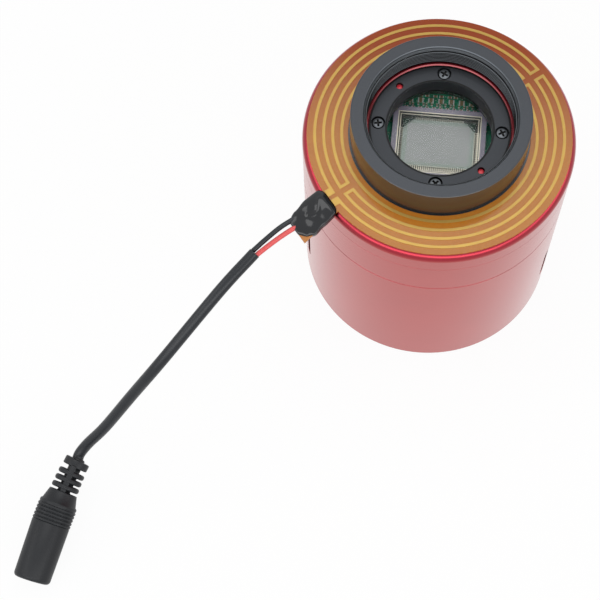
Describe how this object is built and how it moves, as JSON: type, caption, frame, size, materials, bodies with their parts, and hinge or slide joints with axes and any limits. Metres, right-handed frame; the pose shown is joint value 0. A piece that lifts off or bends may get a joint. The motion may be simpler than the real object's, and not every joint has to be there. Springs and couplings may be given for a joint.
{
  "type": "cooled astronomy camera",
  "caption": "Round red cooled camera with a threaded lens collar, sealed sensor window, rear fan and ports, and an amber dew heater film with a black lead.",
  "frame": {"origin": "centre of the rear face, which the camera stands on", "axes": "+Z along the optical axis towards the lens, +X along the sensor's long side"},
  "size_m": [0.1538, 0.1656, 0.086],
  "materials": {
    "red_anodised": "satin",
    "black_anodised": "satin",
    "steel": "satin",
    "clear_glass": "polished",
    "black_rubber": "matte",
    "amber_film": "gloss",
    "copper_foil": "satin",
    "black_moulding": "gloss",
    "black_cable": "satin",
    "red_cable": "satin",
    "ceramic": "matte",
    "silicon": "gloss",
    "board": "satin",
    "board_parts": "satin",
    "chip": "matte",
    "nylon": "matte",
    "copper": "satin",
    "bare_aluminium": "satin",
    "magnet": "matte",
    "blue_plastic": "matte"
  },
  "bodies": {
    "camera": {"rear_shell": "red_anodised", "chamber_body": "red_anodised", "front_plate": "red_anodised", "rear_cover": "black_anodised", "lens_collar": "black_anodised", "window_cell": "black_anodised", "tie_bolts": "steel", "front_screws": "steel", "cell_screws": "steel", "board_screws": "steel", "sink_screws": "steel", "fan_screws": "steel", "socket_sleeve": "steel", "socket_pin": "steel", "usb_port": "steel", "hub_ports": "steel", "power_pin": "steel", "window_glass": "clear_glass", "sensor_glass": "clear_glass", "window_gasket": "black_rubber", "chamber_o_ring": "black_rubber", "base_o_ring": "black_rubber", "tec_foam": "black_rubber", "heater_film": "amber_film", "heater_tracks": "copper_foil", "fan_bearing": "copper_foil", "terminal": "black_moulding", "wire_black": "black_cable", "lead_jacket": "black_cable", "socket_moulding": "black_cable", "wire_red": "red_cable", "sensor_package": "ceramic", "tec_upper": "ceramic", "tec_lower": "ceramic", "desiccant_tablets": "ceramic", "sensor_die": "silicon", "sensor_board": "board", "main_board": "board", "sensor_board_parts": "board_parts", "main_board_chips": "chip", "power_jack": "chip", "fan_frame": "chip", "board_standoffs": "nylon", "cold_finger": "copper", "fan_stator": "copper", "heat_sink": "bare_aluminium", "usb_tongue": "blue_plastic", "hub_tongues": "blue_plastic"},
    "fan": {"fan_rotor": "chip", "fan_magnet": "magnet", "fan_shaft": "steel"}
  },
  "joints": [
    {"name": "fan_spin", "type": "hinge", "parent": "camera", "child": "fan", "pos_m": [0, -0.0112, 0.008], "axis": [0, 0, 1], "continuous": true}
  ]
}
